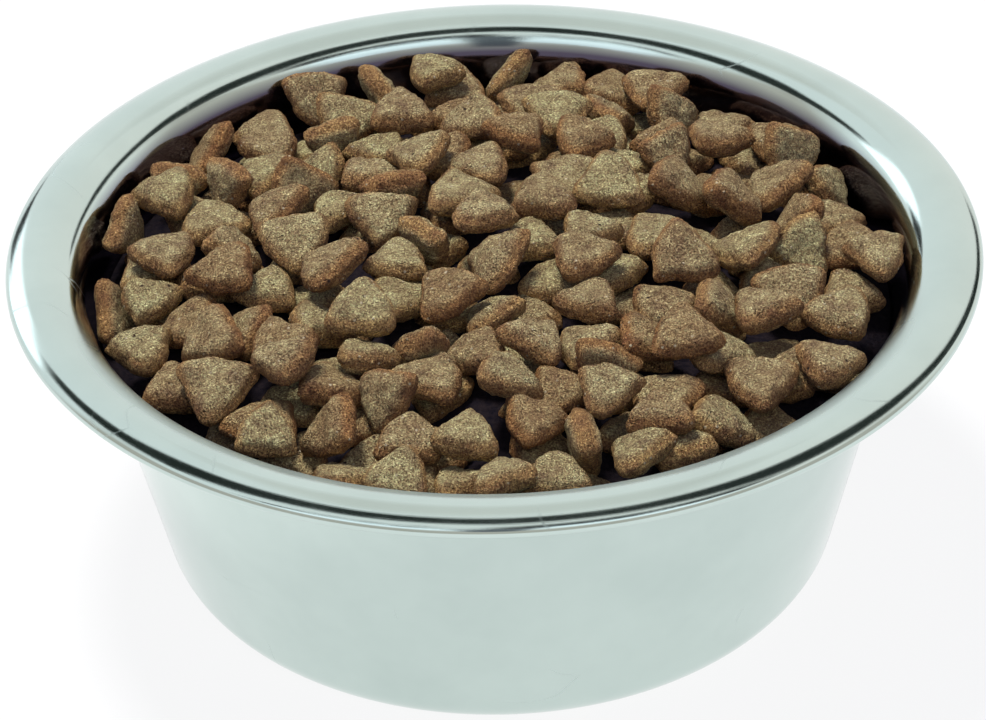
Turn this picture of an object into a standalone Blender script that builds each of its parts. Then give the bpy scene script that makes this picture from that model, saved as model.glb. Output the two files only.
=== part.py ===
"""A stainless-steel pet bowl with a wide rolled rim, heaped with dry kibble.

Metres, +Z up. The origin is on the bowl's axis, on the surface that it stands on.
"""

import math

import bmesh
import bpy
import numpy as np
from mathutils import Vector

# Driving dimensions of the bowl
RIM_DIAMETER = 0.176
BOWL_HEIGHT = 0.0645
SHEET = 0.0006
RIM_ROLL_RADIUS = 0.009
RIM_ROLL_END = math.radians(32)
HEM_RADIUS = 0.001
HEM_TURN = math.radians(150)
WALL_TAPER = math.radians(12.2)
BASE_CORNER_RADIUS = 0.008

# Driving dimensions of the kibble
KIBBLE_WIDTH = 0.0126
KIBBLE_THICKNESS = 0.0064
SIDE_ARC = 2.0
SHOULDER = 0.74

# Driving dimensions of the heap
HEAP_RISE = 0.0035
HEAP_EDGE_DROP = 0.0028
TOP_LAYERS_DEPTH = 0.0120
CORE_SINK = 0.0026
LEAST_GRIP = 0.0008
FUSED_OVER_DOME = 0.0022
LOOSE_OVER_DOME = 0.0044

# Clearances
SEAT_GAP = 0.0003
FUSED_GAP = -0.0004
RAISE_STEP = 0.00005
LOWER_STEP = 0.0002
MOST_LOWERED = 0.0030
LEAST_SHARED = 0.0001
SHARE_STEPS = 60

# How far round a kibble its own shape and its neighbours reach
PATCH_REACH = 0.75 * KIBBLE_WIDTH
NEIGHBOUR_REACH = 1.5 * KIBBLE_WIDTH

# How the heap is filled
SEED = 29
GRID_STEP = 0.00075
BED_KIBBLES = 64
MOST_FILLERS = 40
SPOTS_TRIED = 300
LEANS_TRIED = 12
MISSES_ALLOWED = 8
NUDGE = 0.0012
NUDGES_TRIED = 24
SWAY = math.radians(6)
SWAYS_TRIED = 12
LEAN_SPREAD = math.radians(36)
STEEPEST_LEAN = math.radians(84)

# How finely round shapes are cut
BOWL_STEPS = 56
ROLL_FACETS = 9
HEM_FACETS = 4
CORNER_FACETS = 4
CORE_STEPS = 40
CORE_RINGS = 5
CORE_CORNER_FACETS = 3
MERGE_WITHIN = 0.00001
LEVEL = 1e-6

# The shapes a kibble comes in: width and thickness as shares of the usual ones, how crisp its
# corners are, and how far its third corner is drawn out
SHAPES = (
    (1.00, 1.00, 8.0, 1.00),
    (1.05, 0.96, 6.0, 1.06),
    (0.94, 1.05, 10.0, 0.95),
    (1.02, 1.08, 7.0, 0.90),
    (0.92, 0.98, 12.0, 1.12),
)
# Kibbles laid by hand, as they lie in the heap. Each row is: distance from the axis as a share of
# the heap's radius, bearing, lean of the kibble's face from level, bearing that the face leans
# towards, and turn about the kibble's own axis. Bearings run anticlockwise from +X, in degrees.
# The buried kibbles sink into the core and are one solid with it. The loose ones rest on them.
BURIED_KIBBLES = (
    (0.95, 154, 15, 110, 60), (0.85, 176, 5, 90, 60), (0.61, 136, 25, 240, 110),
    (0.47, 132, 15, 75, 60), (0.55, 121, 5, 270, 0), (0.82, 93, 10, 270, 30), (0.30, 21, 5, 90, 0),
    (0.88, 30, 25, 180, 70), (0.95, 17, 30, 20, 40), (0.52, 8, 15, 30, 50), (0.69, 3, 20, 270, 115),
    (0.94, 188, 75, 355, 80), (0.83, 189, 15, 270, 65), (0.69, 183, 15, 70, 60), (0.53, 196, 0, 270, 0),
    (0.35, 221, 10, 165, 70), (0.86, 230, 10, 330, 0), (0.79, 247, 25, 260, 15),
    (0.69, 238, 25, 30, 50), (0.59, 239, 15, 70, 60), (0.76, 234, 70, 190, 105),
    (0.21, 310, 20, 310, 30), (0.31, 331, 5, 270, 70), (0.46, 323, 15, 270, 70),
    (0.42, 261, 25, 190, 5), (0.49, 298, 10, 185, 70), (0.53, 256, 10, 15, 0), (0.60, 281, 5, 270, 60),
    (0.86, 255, 15, 300, 105), (0.70, 274, 25, 345, 75), (0.87, 273, 10, 210, 20),
    (0.88, 281, 10, 270, 55), (0.91, 264, 15, 90, 60), (0.84, 298, 20, 105, 60),
    (0.93, 292, 25, 145, 70), (0.63, 273, 35, 0, 35), (0.94, 341, 40, 190, 100),
    (0.57, 329, 45, 10, 40), (0.69, 331, 25, 140, 70), (0.92, 315, 20, 270, 30), (0.87, 308, 25, 5, 35),
    (0.75, 304, 25, 180, 70), (0.91, 331, 25, 0, 35), (0.86, 133, 10, 210, 10),
    (0.95, 170, 80, 350, 80), (0.76, 112, 5, 270, 105), (0.95, 103, 40, 190, 80),
    (0.87, 99, 10, 90, 60), (0.95, 85, 15, 90, 60), (0.89, 76, 5, 270, 80), (0.94, 70, 25, 345, 15),
    (0.88, 64, 15, 200, 80), (0.95, 59, 5, 90, 60), (0.61, 63, 5, 270, 10), (0.80, 57, 20, 270, 30),
    (0.63, 96, 10, 330, 0), (0.58, 86, 20, 220, 15), (0.47, 68, 20, 15, 60), (0.44, 102, 10, 210, 0),
    (0.44, 149, 10, 165, 75), (0.81, 157, 5, 270, 60), (0.69, 163, 5, 90, 60), (0.25, 213, 5, 270, 30),
    (0.33, 102, 25, 195, 10), (0.40, 38, 10, 210, 80), (0.59, 28, 20, 25, 60), (0.84, 3, 5, 90, 30),
    (0.27, 358, 5, 90, 60), (0.12, 340, 5, 270, 30), (0.65, 352, 5, 270, 30), (0.93, 195, 5, 90, 60),
    (0.79, 196, 25, 180, 115), (0.64, 206, 35, 185, 90), (0.50, 212, 10, 35, 60),
    (0.30, 268, 25, 145, 70), (0.52, 311, 30, 10, 60), (0.68, 322, 25, 0, 60), (0.83, 325, 25, 195, 5),
    (0.90, 212, 5, 90, 30), (0.67, 290, 5, 270, 90), (0.76, 255, 5, 90, 30), (0.93, 241, 10, 90, 60),
    (0.93, 248, 15, 90, 60), (0.94, 300, 25, 145, 70),
)
LOOSE_KIBBLES = (
    (0.95, 120, 40, 270, 90), (0.93, 144, 50, 170, 80), (0.85, 147, 55, 160, 80), (0.88, 163, 5, 35, 0),
    (0.69, 147, 20, 180, 70), (0.59, 161, 40, 170, 80), (0.51, 175, 25, 270, 100),
    (0.64, 176, 40, 15, 40), (0.29, 154, 20, 285, 95), (0.38, 178, 75, 190, 105),
    (0.73, 80, 15, 270, 90), (0.60, 74, 5, 270, 80), (0.60, 49, 20, 270, 115), (0.66, 108, 15, 270, 30),
    (0.40, 82, 10, 35, 5), (0.32, 54, 20, 270, 95), (0.24, 126, 15, 45, 60), (0.18, 86, 20, 255, 25),
    (0.16, 35, 10, 270, 30), (0.01, 6, 10, 55, 50), (0.47, 28, 35, 5, 40), (0.41, 2, 15, 45, 55),
    (0.14, 184, 20, 270, 30), (0.83, 45, 0, 270, 60), (0.93, 37, 10, 270, 80), (0.71, 40, 15, 70, 60),
    (0.73, 20, 25, 165, 70), (0.69, 28, 55, 185, 100), (0.58, 18, 45, 10, 40), (0.85, 14, 20, 40, 50),
    (0.68, 196, 10, 225, 5), (0.41, 204, 25, 165, 70), (0.90, 203, 15, 240, 0),
    (0.76, 210, 25, 215, 25), (0.62, 220, 5, 35, 60), (0.51, 230, 20, 270, 40),
    (0.85, 220, 20, 260, 85), (0.74, 226, 30, 180, 80), (0.92, 230, 30, 20, 45),
    (0.82, 240, 50, 200, 5), (0.31, 248, 5, 225, 55), (0.17, 273, 30, 190, 75), (0.38, 307, 5, 90, 0),
    (0.44, 340, 25, 270, 40), (0.45, 277, 5, 355, 0), (0.67, 262, 25, 265, 65),
    (0.66, 302, 20, 150, 70), (0.82, 265, 10, 245, 15), (0.76, 282, 40, 170, 80),
    (0.87, 290, 30, 270, 50), (0.56, 345, 20, 270, 90), (0.72, 344, 20, 270, 100),
    (0.84, 353, 10, 270, 40), (0.82, 339, 20, 270, 115), (0.95, 355, 15, 270, 110),
    (0.64, 314, 15, 270, 45), (0.82, 314, 20, 270, 90), (0.93, 323, 5, 225, 65),
)


def clear_scene():
    for thing in list(bpy.data.objects):
        bpy.data.objects.remove(thing, do_unlink=True)


def new_collection(name):
    collection = bpy.data.collections.new(name)
    bpy.context.scene.collection.children.link(collection)
    return collection


def principled(name, colour, roughness, metallic):
    material = bpy.data.materials.new(name)
    material.use_nodes = True
    shader = material.node_tree.nodes["Principled BSDF"]
    shader.inputs["Base Color"].default_value = (*colour, 1.0)
    shader.inputs["Roughness"].default_value = roughness
    shader.inputs["Metallic"].default_value = metallic
    material.diffuse_color = (*colour, 1.0)
    return material


def add_object(name, mesh, material, collection):
    made = bpy.data.objects.new(name, mesh)
    if not mesh.materials:
        mesh.materials.append(material)
    collection.objects.link(made)
    return made


def arc(centre_r, centre_z, radius, start, end, count):
    """Points (r, z) round a circle. An angle of 0 points up the +Z axis, and 90 degrees points out."""
    step = (end - start) / count
    return [
        (
            centre_r + radius * math.sin(start + step * i),
            centre_z + radius * math.cos(start + step * i),
        )
        for i in range(count + 1)
    ]


def crown_place():
    """Radius and height of the centre of the rim's roll."""
    radius = RIM_DIAMETER / 2 - HEM_RADIUS - (RIM_ROLL_RADIUS - HEM_RADIUS) * math.sin(RIM_ROLL_END)
    return radius, BOWL_HEIGHT - RIM_ROLL_RADIUS


def wall_inner_radius(height):
    """Inside radius of the tapered wall at a height, carried on straight above the wall's top."""
    crown_r, crown_z = crown_place()
    top_r = crown_r - RIM_ROLL_RADIUS * math.cos(WALL_TAPER)
    top_z = crown_z + RIM_ROLL_RADIUS * math.sin(WALL_TAPER)
    return top_r + (height - top_z) * math.tan(WALL_TAPER)


def corner_arc(inset, count):
    """The rounded corner between base and wall, on a face set in from the bowl's inner face."""
    radius = BASE_CORNER_RADIUS - SHEET - inset
    centre_z = BASE_CORNER_RADIUS
    reach = radius + inset
    centre_r = wall_inner_radius(centre_z) - reach / math.cos(WALL_TAPER)
    return arc(centre_r, centre_z, radius, math.pi, math.pi / 2 + WALL_TAPER, count)


def turned_mesh(name, profile, steps, sheet=0.0):
    """A mesh that turns an (r, z) profile about the Z axis, thickened to a shell if sheet is given."""
    mesh = bpy.data.meshes.new(name)
    points = [(r, 0.0, z) for r, z in profile]
    mesh.from_pydata(points, [(i, i + 1) for i in range(len(points) - 1)], [])
    made = bpy.data.objects.new(name, mesh)
    screw = made.modifiers.new("turn", "SCREW")
    screw.axis = "Z"
    screw.steps = steps
    screw.render_steps = steps
    screw.use_merge_vertices = True
    screw.merge_threshold = MERGE_WITHIN
    if sheet:
        shell = made.modifiers.new("sheet", "SOLIDIFY")
        shell.thickness = sheet
        shell.offset = -1.0
    return made


def make_bowl(material, collection):
    """One drawn sheet: flat base, tapered wall, rolled rim and a small hem turned under its edge."""
    crown_r, crown_z = crown_place()
    hem_reach = RIM_ROLL_RADIUS - HEM_RADIUS
    hem_r = crown_r + hem_reach * math.sin(RIM_ROLL_END)
    hem_z = crown_z + hem_reach * math.cos(RIM_ROLL_END)
    roll_start = -(math.pi / 2 - WALL_TAPER)
    inner_face = [(0.0, SHEET)]
    inner_face += corner_arc(0.0, CORNER_FACETS)
    inner_face += arc(crown_r, crown_z, RIM_ROLL_RADIUS, roll_start, RIM_ROLL_END, ROLL_FACETS)
    hem_end = RIM_ROLL_END + HEM_TURN
    inner_face += arc(hem_r, hem_z, HEM_RADIUS, RIM_ROLL_END, hem_end, HEM_FACETS)[1:]
    bowl = turned_mesh("bowl", inner_face, BOWL_STEPS, SHEET)
    bowl.data.materials.append(material)
    collection.objects.link(bowl)
    bowl.data.shade_smooth()
    return bowl


def heap_top(radius):
    """Height of the heap's domed top at a distance from the axis."""
    edge = wall_inner_radius(BOWL_HEIGHT - HEAP_EDGE_DROP)
    share = np.minimum(radius / edge, 1.0)
    return BOWL_HEIGHT + HEAP_RISE - (HEAP_RISE + HEAP_EDGE_DROP) * share**2


def core_top(radius):
    return heap_top(radius) - TOP_LAYERS_DEPTH


def sunk_floor(radius):
    """How deep the buried kibbles sink."""
    return core_top(radius) - CORE_SINK


def clear_floor(radius):
    """The lowest that a loose kibble may lie."""
    return core_top(radius) + 2 * SEAT_GAP


def core_profile():
    """Outline of the packed kibble that fills the bowl, from the middle of its top down to its base."""
    inset = SEAT_GAP
    lean_inset = inset / math.cos(WALL_TAPER)
    edge_z = BOWL_HEIGHT - HEAP_EDGE_DROP - TOP_LAYERS_DEPTH
    edge_r = wall_inner_radius(edge_z) - lean_inset
    ring_radii = [edge_r * i / CORE_RINGS for i in range(CORE_RINGS)]
    top = [(radius, float(core_top(radius))) for radius in ring_radii]
    corner = corner_arc(inset, CORE_CORNER_FACETS)
    return top + [(edge_r, edge_z)] + corner[::-1] + [(0.0, SHEET + inset)]


def kibble_outline(angle, crisp, stretch):
    """Distance from a kibble's middle to its edge, where the nearest point of a side is at 1.

    The edge is three shallow arcs, whose corners are rounded less the larger crisp is.
    """
    total = 0.0
    for side in range(3):
        off = angle - side * math.tau / 3
        across = math.sqrt(SIDE_ARC**2 - ((SIDE_ARC - 1) * math.sin(off)) ** 2)
        total += (across - (SIDE_ARC - 1) * math.cos(off)) ** -crisp
    drawn = 1 + (stretch - 1) * max(0.0, math.cos(angle - math.pi))
    return total ** (-1 / crisp) * drawn


def kibble_hull(shape, edge_angles):
    """A coarse kibble as (corner points, face normals, face distances, faces), all about its middle."""
    width_share, thick_share, crisp, stretch = shape
    across = 1 + kibble_outline(math.pi, crisp, 1.0)
    side = KIBBLE_WIDTH * width_share / across
    half_thick = KIBBLE_THICKNESS * thick_share / 2
    points = [(0.0, 0.0, half_thick), (0.0, 0.0, -half_thick)]
    for reach, height in ((1.0, 0.0), (SHOULDER, SHOULDER), (SHOULDER, -SHOULDER)):
        for third in range(3):
            for degrees in edge_angles:
                angle = math.radians(120 * third + degrees)
                radius = side * reach * kibble_outline(angle, crisp, stretch)
                points.append(
                    (radius * math.cos(angle), radius * math.sin(angle), half_thick * height)
                )
    shell = bmesh.new()
    for point in points:
        shell.verts.new(point)
    bmesh.ops.convex_hull(shell, input=shell.verts)
    bmesh.ops.triangulate(shell, faces=shell.faces)
    shell.normal_update()
    corners = np.array([vert.co for vert in shell.verts])
    normals = np.array([face.normal for face in shell.faces])
    starts = np.array([face.verts[0].co for face in shell.faces])
    shell.verts.index_update()
    faces = [tuple(vert.index for vert in face.verts) for face in shell.faces]
    shell.free()
    return corners, normals, (normals * starts).sum(axis=1), faces


def leaning(lean, towards, turn):
    """Rotation that turns a kibble about its own axis, then leans its face towards a bearing."""
    spin = math.cos(turn - towards), math.sin(turn - towards)
    about_axis = np.array([[spin[0], -spin[1], 0], [spin[1], spin[0], 0], [0, 0, 1]])
    tip = np.array(
        [
            [math.cos(lean), 0, math.sin(lean)],
            [0, 1, 0],
            [-math.sin(lean), 0, math.cos(lean)],
        ]
    )
    face = math.cos(towards), math.sin(towards)
    to_bearing = np.array([[face[0], -face[1], 0], [face[1], face[0], 0], [0, 0, 1]])
    return to_bearing @ tip @ about_axis


class Heap:
    """Kibbles laid one by one, each let down until it rests on the wall, the core or its neighbours."""

    def __init__(self):
        self.placed = []
        reach = RIM_DIAMETER / 2
        self.half_cells = int(math.ceil(reach / GRID_STEP))
        self.pad = int(math.ceil(PATCH_REACH / GRID_STEP))
        count = 2 * (self.half_cells + self.pad) + 1
        axis = (np.arange(count) - self.half_cells - self.pad) * GRID_STEP
        self.height = np.full((count, count), -1.0)
        self.radius = np.hypot(axis[:, None], axis[None, :])
        near = (np.arange(2 * self.pad + 1) - self.pad) * GRID_STEP
        self.near_x, self.near_y = np.meshgrid(near, near, indexing="ij")

    def set_floor(self, floor):
        """Gives the heap a floor whose height is a function of the distance from the axis."""
        self.floor = floor(self.radius)
        self.floor_at = floor

    def surfaces(self, normals, distances, swell):
        """Lowest and highest point of a turned hull over each cell near it, with NaN beside it."""
        flat = distances + swell
        over = normals[:, 0, None, None] * self.near_x + normals[:, 1, None, None] * self.near_y
        rise = normals[:, 2]
        up, down, upright = rise > LEVEL, rise < -LEVEL, abs(rise) <= LEVEL
        top = ((flat[up, None, None] - over[up]) / rise[up, None, None]).min(axis=0)
        low = ((flat[down, None, None] - over[down]) / rise[down, None, None]).max(axis=0)
        outside = top <= low
        if upright.any():
            outside |= (over[upright] > flat[upright, None, None]).any(axis=0)
        low[outside] = np.nan
        top[outside] = np.nan
        return low, top

    def rest_heights(self, low, cells):
        """How high a hull's middle lies when it rests at each of these cells."""
        inside = ~np.isnan(low)
        offset_x, offset_y = np.nonzero(inside)
        rows = cells[:, 0, None] + offset_x[None, :] - self.pad
        columns = cells[:, 1, None] + offset_y[None, :] - self.pad
        under = np.maximum(self.height[rows, columns], self.floor[rows, columns])
        return (under - low[inside][None, :]).max(axis=1)

    def wall_heights(self, corners, centres):
        """How high a hull's middle must lie at each centre to clear the bowl's wall and roll."""
        x = centres[:, 0, None] + corners[None, :, 0]
        y = centres[:, 1, None] + corners[None, :, 1]
        reach = np.hypot(x, y)
        wide = reach + SEAT_GAP / math.cos(WALL_TAPER)
        needed = (wide - wall_inner_radius(0.0)) / math.tan(WALL_TAPER)
        crown_r, crown_z = crown_place()
        clear = RIM_ROLL_RADIUS + SEAT_GAP
        short = np.clip(crown_r - reach, 0.0, clear)
        on_roll = crown_z + np.sqrt(clear**2 - short**2)
        needed = np.where(short < clear * math.cos(WALL_TAPER), on_roll, needed)
        return (needed - corners[None, :, 2]).max(axis=1)

    def clearance(self, others, corners, normals, distances, middle, free):
        """Least gap, beyond the one wanted, from a hull with this middle to the others."""
        least = 1.0
        mine = corners + middle
        mine_flat = distances + normals @ middle
        for other_corners, other_normals, other_flat, other_middle, other_free in others:
            if np.abs(other_middle - middle).max() > NEIGHBOUR_REACH:
                continue
            wanted = SEAT_GAP if free or other_free else FUSED_GAP
            past_mine = (other_corners @ normals.T - mine_flat).min(axis=0).max()
            past_other = (mine @ other_normals.T - other_flat).min(axis=0).max()
            least = min(least, max(past_mine, past_other) - wanted)
            if least < 0:
                break
        return least

    def settle(self, hull, turned, x, y, height, free):
        """The lowest middle about this height that clears the wall and its neighbours."""
        corners = hull[0] @ turned.T
        normals = hull[1] @ turned.T
        middle = np.array([x, y, height - 2 * SEAT_GAP])
        middle[2] = max(middle[2], self.lowest_middle(hull, turned, middle))
        while self.clearance(self.placed, corners, normals, hull[2], middle, free) < 0:
            middle[2] += RAISE_STEP
        return middle

    def shares(self, others, hull, turned, middle, depth):
        """Whether a hull with this middle reaches this deep into another, or, below 0, this near."""
        normals = hull[1] @ turned.T
        flat = hull[2] + normals @ middle
        for _, other_normals, other_flat, other_middle, _ in others:
            if np.linalg.norm(other_middle - middle) > NEIGHBOUR_REACH:
                continue
            both = np.vstack([normals, other_normals])
            limits = np.concatenate([flat, other_flat]) - depth
            point = (middle + other_middle) / 2
            for _ in range(SHARE_STEPS):
                past = both @ point - limits
                worst = int(np.argmax(past))
                if past[worst] <= abs(depth) / 2:
                    return True
                point = point - both[worst] * past[worst]
        return False

    def lowest_middle(self, hull, turned, middle):
        """How low a hull's middle may come, straight down, for the wall and the floor."""
        corners = hull[0] @ turned.T
        wall = float(self.wall_heights(corners, middle[None, :2])[0])
        under = self.floor_at(np.hypot(corners[:, 0] + middle[0], corners[:, 1] + middle[1]))
        return max(wall, float((under - corners[:, 2]).max()))

    def lower_until_fused(self, hull, turned, middle):
        """The middle, let down until its hull joins the core or a neighbour, or None."""
        solid_ones = [other for other in self.placed if not other[4]]
        free_ones = [other for other in self.placed if other[4]]
        lowest = max(middle[2] - MOST_LOWERED, self.lowest_middle(hull, turned, middle))
        while not grips_core(hull, turned, middle):
            if self.shares(solid_ones, hull, turned, middle, LEAST_SHARED):
                break
            middle = middle - (0.0, 0.0, LOWER_STEP)
            if middle[2] < lowest:
                return None
        corners = hull[0] @ turned.T
        normals = hull[1] @ turned.T
        if self.clearance(free_ones, corners, normals, hull[2], middle, False) < 0:
            return None
        return middle

    def lower_until_near(self, hull, turned, middle):
        """The middle, let down until its hull is within a seat's gap of a neighbour."""
        lowest = max(middle[2] - MOST_LOWERED, self.lowest_middle(hull, turned, middle))
        while middle[2] - LOWER_STEP >= lowest:
            lower = middle - (0.0, 0.0, LOWER_STEP)
            if self.shares(self.placed, hull, turned, lower, -SEAT_GAP):
                break
            middle = lower
        return middle

    def lay(self, hull, turned, middle, free):
        corners, normals, distances, _ = hull
        turned_corners = corners @ turned.T
        turned_normals = normals @ turned.T
        flat = distances + turned_normals @ middle
        self.placed.append((turned_corners + middle, turned_normals, flat, middle, free))
        cell_x = int(round(middle[0] / GRID_STEP)) + self.half_cells + self.pad
        cell_y = int(round(middle[1] / GRID_STEP)) + self.half_cells + self.pad
        _, top = self.surfaces(turned_normals, distances, SEAT_GAP if free else 0.0)
        rows = slice(cell_x - self.pad, cell_x + self.pad + 1)
        columns = slice(cell_y - self.pad, cell_y + self.pad + 1)
        patch = self.height[rows, columns]
        self.height[rows, columns] = np.fmax(patch, top + middle[2])

    def best_place(self, hull, leans, cells):
        """The lowest rest among these leans and cells, as (rotation, x, y, height)."""
        corners, normals, distances, _ = hull
        centres = (cells - self.half_cells - self.pad) * GRID_STEP
        best = None
        for turned in leans:
            turned_corners = corners @ turned.T
            low, _ = self.surfaces(normals @ turned.T, distances, 0.0)
            heights = self.rest_heights(low, cells)
            heights = np.maximum(heights, self.wall_heights(turned_corners, centres))
            over_dome = heights - heap_top(np.hypot(centres[:, 0], centres[:, 1]))
            pick = int(np.argmin(over_dome))
            if best is None or over_dome[pick] < best[0]:
                best = (over_dome[pick], turned, *centres[pick], heights[pick])
        return best[1:]


def random_leans(rng, count):
    leans = []
    for _ in range(count):
        lean = min(abs(rng.normal(0.0, LEAN_SPREAD)), STEEPEST_LEAN)
        leans.append(leaning(lean, rng.uniform(0, math.tau), rng.uniform(0, math.tau)))
    return leans


def place_row(heap, rng, hull, row, free):
    """Rotation and middle of a listed kibble where it nestles lowest, near its place and lean."""
    out, bearing, lean, towards, turn = row
    radius = wall_inner_radius(BOWL_HEIGHT - HEAP_EDGE_DROP)
    x = radius * out * math.cos(math.radians(bearing))
    y = radius * out * math.sin(math.radians(bearing))
    nudges = rng.normal(0.0, NUDGE, (NUDGES_TRIED, 2))
    nudges[0] = 0.0
    cells = np.rint((nudges + (x, y)) / GRID_STEP).astype(int) + heap.half_cells + heap.pad
    leans = []
    for sway in rng.normal(0.0, SWAY, (SWAYS_TRIED, 3)):
        leans.append(leaning(*(np.radians((lean, towards, turn)) + sway)))
    turned, x, y, height = heap.best_place(hull, leans, cells)
    return turned, heap.settle(hull, turned, x, y, height, free)


def over_dome(hull, turned, middle):
    """How far a kibble's highest corner stands over the heap's dome."""
    points = hull[0] @ turned.T + middle
    return float((points[:, 2] - heap_top(np.hypot(points[:, 0], points[:, 1]))).max())


def grips_core(hull, turned, middle):
    points = hull[0] @ turned.T + middle
    depth = core_top(np.hypot(points[:, 0], points[:, 1])) - points[:, 2]
    return depth.max() >= LEAST_GRIP


def lay_fused(heap, hull, turned, middle, laid):
    """Lays a kibble of the heap's one solid, unless it would hang free of it."""
    middle = heap.lower_until_fused(hull, turned, middle)
    if middle is None:
        return
    heap.lay(hull, turned, middle, False)
    laid.append((hull, turned, middle))


def lay_buried(heap, hulls, rng):
    """Lays the listed kibbles that are part of the heap's one solid."""
    laid = []
    for number, row in enumerate(BURIED_KIBBLES):
        hull = hulls[number % len(hulls)]
        turned, middle = place_row(heap, rng, hull, row, False)
        if over_dome(hull, turned, middle) < FUSED_OVER_DOME:
            lay_fused(heap, hull, turned, middle, laid)
    return laid


def lay_loose(heap, hulls, rng):
    """Lays the listed kibbles that lie free on the others."""
    laid = []
    for number, row in enumerate(LOOSE_KIBBLES):
        hull = hulls[number % len(hulls)]
        turned, middle = place_row(heap, rng, hull, row, True)
        middle = heap.lower_until_near(hull, turned, middle)
        if over_dome(hull, turned, middle) < LOOSE_OVER_DOME:
            heap.lay(hull, turned, middle, True)
            laid.append((hull, turned, middle))
    return laid


def lay_fillers(heap, hulls, rng, most, highest):
    """Drops kibbles into the lowest gaps, none with its top higher than this over the dome."""
    reach = int((wall_inner_radius(BOWL_HEIGHT) - KIBBLE_THICKNESS / 2) / GRID_STEP)
    laid = []
    misses = 0
    while len(laid) < most and misses < MISSES_ALLOWED:
        hull = hulls[int(rng.integers(len(hulls)))]
        spots = rng.integers(-reach, reach + 1, (2 * SPOTS_TRIED, 2))
        spots = spots[np.hypot(spots[:, 0], spots[:, 1]) <= reach][:SPOTS_TRIED]
        cells = spots + heap.half_cells + heap.pad
        turned, x, y, height = heap.best_place(hull, random_leans(rng, LEANS_TRIED), cells)
        middle = heap.settle(hull, turned, x, y, height, False)
        if over_dome(hull, turned, middle) < highest:
            lay_fused(heap, hull, turned, middle, laid)
        else:
            misses += 1
    return laid


def kibble_mesh(name, pieces):
    """One mesh of kibbles, each given as (hull, rotation, middle)."""
    points, faces = [], []
    for hull, turned, middle in pieces:
        start = len(points)
        points += (hull[0] @ turned.T + middle).tolist()
        faces += [tuple(start + corner for corner in face) for face in hull[3]]
    mesh = bpy.data.meshes.new(name)
    mesh.from_pydata(points, [], faces)
    return mesh


def make_heap(buried, material, parts, cutters):
    """The filling: its packed core with the buried kibbles joined to it."""
    core = turned_mesh("kibble_heap", core_profile(), CORE_STEPS)
    core.data.materials.append(material)
    parts.objects.link(core)
    bed_mesh = kibble_mesh("buried_kibbles", buried)
    joined = add_object("buried_kibbles", bed_mesh, material, cutters)
    joined.hide_render = True
    joined.display_type = "WIRE"
    union = core.modifiers.new("kibbles", "BOOLEAN")
    union.operation = "UNION"
    union.solver = "EXACT"
    union.use_self = True
    union.object = joined
    return core


def make_loose(loose, material, collection):
    for number, (hull, turned, middle) in enumerate(loose, 1):
        name = f"kibble_{number:02d}"
        mesh = kibble_mesh(name, [(hull, turned, np.zeros(3))])
        piece = add_object(name, mesh, material, collection)
        piece.location = Vector(middle)


def main():
    clear_scene()
    parts = new_collection("pet_food_bowl")
    cutters = new_collection("cutters")
    steel = principled("stainless_steel", (0.62, 0.66, 0.63), 0.24, 1.0)
    food = principled("kibble", (0.23, 0.14, 0.075), 0.85, 0.0)
    make_bowl(steel, parts)
    coarse = [kibble_hull(shape, (0, 60)) for shape in SHAPES]
    finer = [kibble_hull(shape, (0, 48, 72)) for shape in SHAPES]
    rng = np.random.default_rng(SEED)
    heap = Heap()
    heap.set_floor(sunk_floor)
    buried = lay_fillers(heap, coarse, rng, BED_KIBBLES, FUSED_OVER_DOME)
    buried += lay_buried(heap, coarse, rng)
    heap.set_floor(clear_floor)
    loose = lay_loose(heap, finer, rng)
    heap.set_floor(sunk_floor)
    buried += lay_fillers(heap, coarse, rng, MOST_FILLERS, FUSED_OVER_DOME)
    make_heap(buried, food, parts, cutters)
    make_loose(loose, food, parts)


main()
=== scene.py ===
"""Looks for the steel pet bowl heaped with kibble.

The bowl and the kibbles are made finer here at the places that the solids give them. The heap's
kibbles are laid by the same steps as in the part's source, so that each lies where its solid does.
"""

import math

import bmesh
import bpy
import numpy as np
from mathutils import Matrix, Vector


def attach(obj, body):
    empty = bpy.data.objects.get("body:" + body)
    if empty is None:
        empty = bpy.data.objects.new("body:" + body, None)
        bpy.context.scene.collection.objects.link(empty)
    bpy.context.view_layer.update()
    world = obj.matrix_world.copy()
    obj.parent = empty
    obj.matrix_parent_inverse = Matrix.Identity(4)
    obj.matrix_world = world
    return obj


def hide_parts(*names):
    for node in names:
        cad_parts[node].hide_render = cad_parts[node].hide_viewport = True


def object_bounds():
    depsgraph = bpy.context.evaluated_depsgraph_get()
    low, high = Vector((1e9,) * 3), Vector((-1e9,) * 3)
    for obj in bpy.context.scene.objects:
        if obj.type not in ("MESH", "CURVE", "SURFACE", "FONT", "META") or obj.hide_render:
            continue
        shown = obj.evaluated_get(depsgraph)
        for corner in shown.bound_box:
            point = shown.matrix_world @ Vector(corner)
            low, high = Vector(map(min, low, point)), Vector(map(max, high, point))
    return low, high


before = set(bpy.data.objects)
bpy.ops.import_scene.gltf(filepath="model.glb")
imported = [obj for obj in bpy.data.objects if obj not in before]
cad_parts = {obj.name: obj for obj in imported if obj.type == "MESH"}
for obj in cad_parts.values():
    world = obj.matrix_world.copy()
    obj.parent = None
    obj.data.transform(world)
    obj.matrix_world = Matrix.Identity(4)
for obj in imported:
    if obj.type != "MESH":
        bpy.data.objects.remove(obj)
CAD_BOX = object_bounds()

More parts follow.
